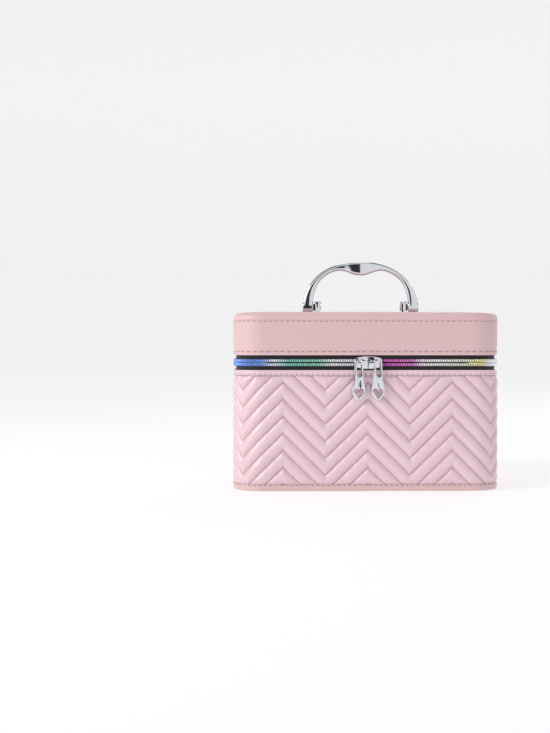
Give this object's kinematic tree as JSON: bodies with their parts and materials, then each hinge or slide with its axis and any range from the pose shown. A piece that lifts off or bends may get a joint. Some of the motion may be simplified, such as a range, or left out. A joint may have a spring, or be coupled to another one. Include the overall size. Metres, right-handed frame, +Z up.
{
  "type": "makeup case",
  "caption": "Pink chevron-quilted makeup storage case with a padded lid on a leather hinge, two-slider black zip with heart pulls and a folding chrome carry handle.",
  "frame": {"origin": "middle of the base, on the surface it stands on", "axes": "+X across the width to the right seen from the front, -Y to the front, +Z up"},
  "size_m": [0.225, 0.1591, 0.1958],
  "materials": {
    "quilted_leather": "pearl-coated embossed PU, chevron quilted over foam",
    "smooth_leather": "satin PU over thin foam",
    "board": "pressed grey board",
    "lining_fabric": "brushed short-pile lining",
    "zip_tape": "woven black polyester tape",
    "zip_coil": "iridescent plated nylon coil",
    "chrome_zinc": "polished plated zinc casting",
    "plated_steel": "zinc-plated steel",
    "washer_plastic": "black nylon"
  },
  "bodies": {
    "case_body": {"base_cover": "smooth_leather", "base_board": "board", "body_wall_board": "board", "quilted_skin": "quilted_leather", "body_lining": "lining_fabric", "base_lining_pad": "lining_fabric", "lower_zip_tape": "zip_tape", "lower_zip_teeth": "zip_coil", "hinge_strip": "smooth_leather", "hinge_lining": "lining_fabric"},
    "lid": {"upper_zip_tape": "zip_tape", "upper_zip_teeth": "zip_coil", "lid_wall_board": "board", "lid_top_board": "board", "lid_side_skin": "smooth_leather", "lid_top_cover": "smooth_leather", "lid_lining": "lining_fabric", "bracket_screws": "plated_steel", "backing_plates": "plated_steel", "bracket_left": "chrome_zinc", "bracket_right": "chrome_zinc", "pivot_pin_left": "chrome_zinc", "pivot_pin_right": "chrome_zinc", "pivot_washer_left": "washer_plastic", "pivot_washer_right": "washer_plastic"},
    "handle": {"carry_handle": "chrome_zinc"},
    "slider_left_body": {"slider_left": "chrome_zinc"},
    "slider_right_body": {"slider_right": "chrome_zinc"},
    "pull_left_body": {"pull_left": "chrome_zinc"},
    "pull_right_body": {"pull_right": "chrome_zinc"}
  },
  "joints": [
    {"name": "lid_hinge", "type": "hinge", "parent": "case_body", "child": "lid", "pos_m": [0, 0.07395, 0.10715], "axis": [-1, 0, 0], "range_deg": [0, 105], "deforming": ["hinge_strip", "hinge_lining"]},
    {"name": "handle_fold", "type": "hinge", "parent": "lid", "child": "handle", "pos_m": [0, 0, 0.1554], "axis": [1, 0, 0], "range_deg": [-86, 86]},
    {"name": "slider_left_slide", "type": "slide", "parent": "case_body", "child": "slider_left_body", "axis": [-1, 0, 0], "range_m": [0, 0.068]},
    {"name": "pull_left_swing", "type": "hinge", "parent": "slider_left_body", "child": "pull_left_body", "pos_m": [-0.008, -0.0795, 0.10715], "axis": [0, 1, 0], "range_deg": [-5, 95]},
    {"name": "slider_right_slide", "type": "slide", "parent": "case_body", "child": "slider_right_body", "axis": [1, 0, 0], "range_m": [0, 0.068]},
    {"name": "pull_right_swing", "type": "hinge", "parent": "slider_right_body", "child": "pull_right_body", "pos_m": [0.008, -0.0795, 0.10715], "axis": [0, -1, 0], "range_deg": [-5, 95]}
  ]
}
